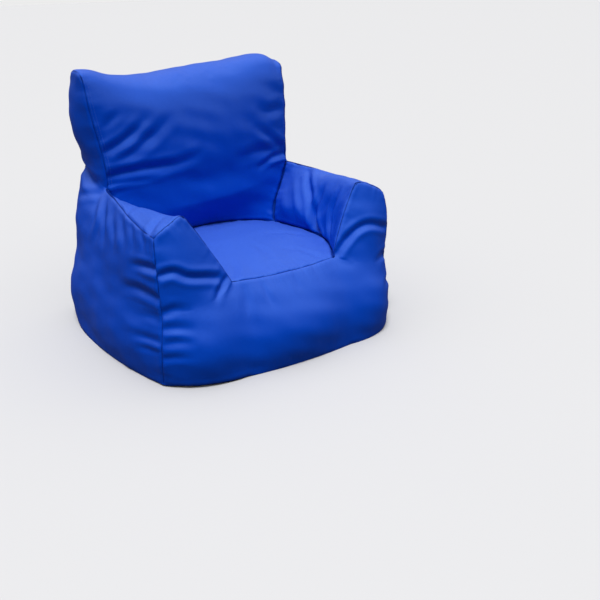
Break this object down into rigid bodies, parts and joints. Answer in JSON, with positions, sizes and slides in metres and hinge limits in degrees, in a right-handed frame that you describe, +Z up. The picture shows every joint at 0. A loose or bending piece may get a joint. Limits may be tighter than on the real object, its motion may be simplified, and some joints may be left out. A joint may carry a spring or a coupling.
{
  "type": "bean bag chair",
  "caption": "Child's bean bag armchair: a sewn leather-look cover with backrest, arms and seat over a bead filling, with a zip across its lower back.",
  "frame": {"origin": "on the floor under the middle of the chair, in the base panel's face", "axes": "+Z up, the sitter faces -Y, the plane of symmetry is X = 0"},
  "size_m": [0.707, 0.6338, 0.6077],
  "materials": {
    "cover_vinyl": "coated cloth, leather grain, satin",
    "base_vinyl": "coated cloth, leather grain, satin",
    "liner_cloth": "plain woven polyester",
    "foam_beads": "expanded polystyrene beads",
    "zip_tape": "woven tape",
    "zip_teeth": "moulded",
    "zip_metal": "enamelled"
  },
  "bodies": {
    "bag": {"back_panel_lower": "cover_vinyl", "back_panel_upper": "cover_vinyl", "base_panel": "base_vinyl", "bead_fill": "foam_beads", "front_panel": "cover_vinyl", "inner_liner": "liner_cloth", "inside_back_panel": "cover_vinyl", "left_arm_panel": "cover_vinyl", "left_side_panel": "cover_vinyl", "right_arm_panel": "cover_vinyl", "right_side_panel": "cover_vinyl", "seat_panel": "cover_vinyl", "zip_bottom_stop": "zip_metal", "zip_tape_lower": "zip_tape", "zip_tape_upper": "zip_tape", "zip_teeth_lower": "zip_teeth", "zip_teeth_upper": "zip_teeth", "zip_top_stops": "zip_metal"},
    "slider": {"zip_slider": "zip_metal"}
  },
  "joints": [
    {"name": "zip_slide", "type": "slide", "parent": "bag", "child": "slider", "axis": [-1, 0, 0], "range_m": [0, 0.264], "deforming": ["zip_teeth_upper", "zip_teeth_lower"]}
  ]
}
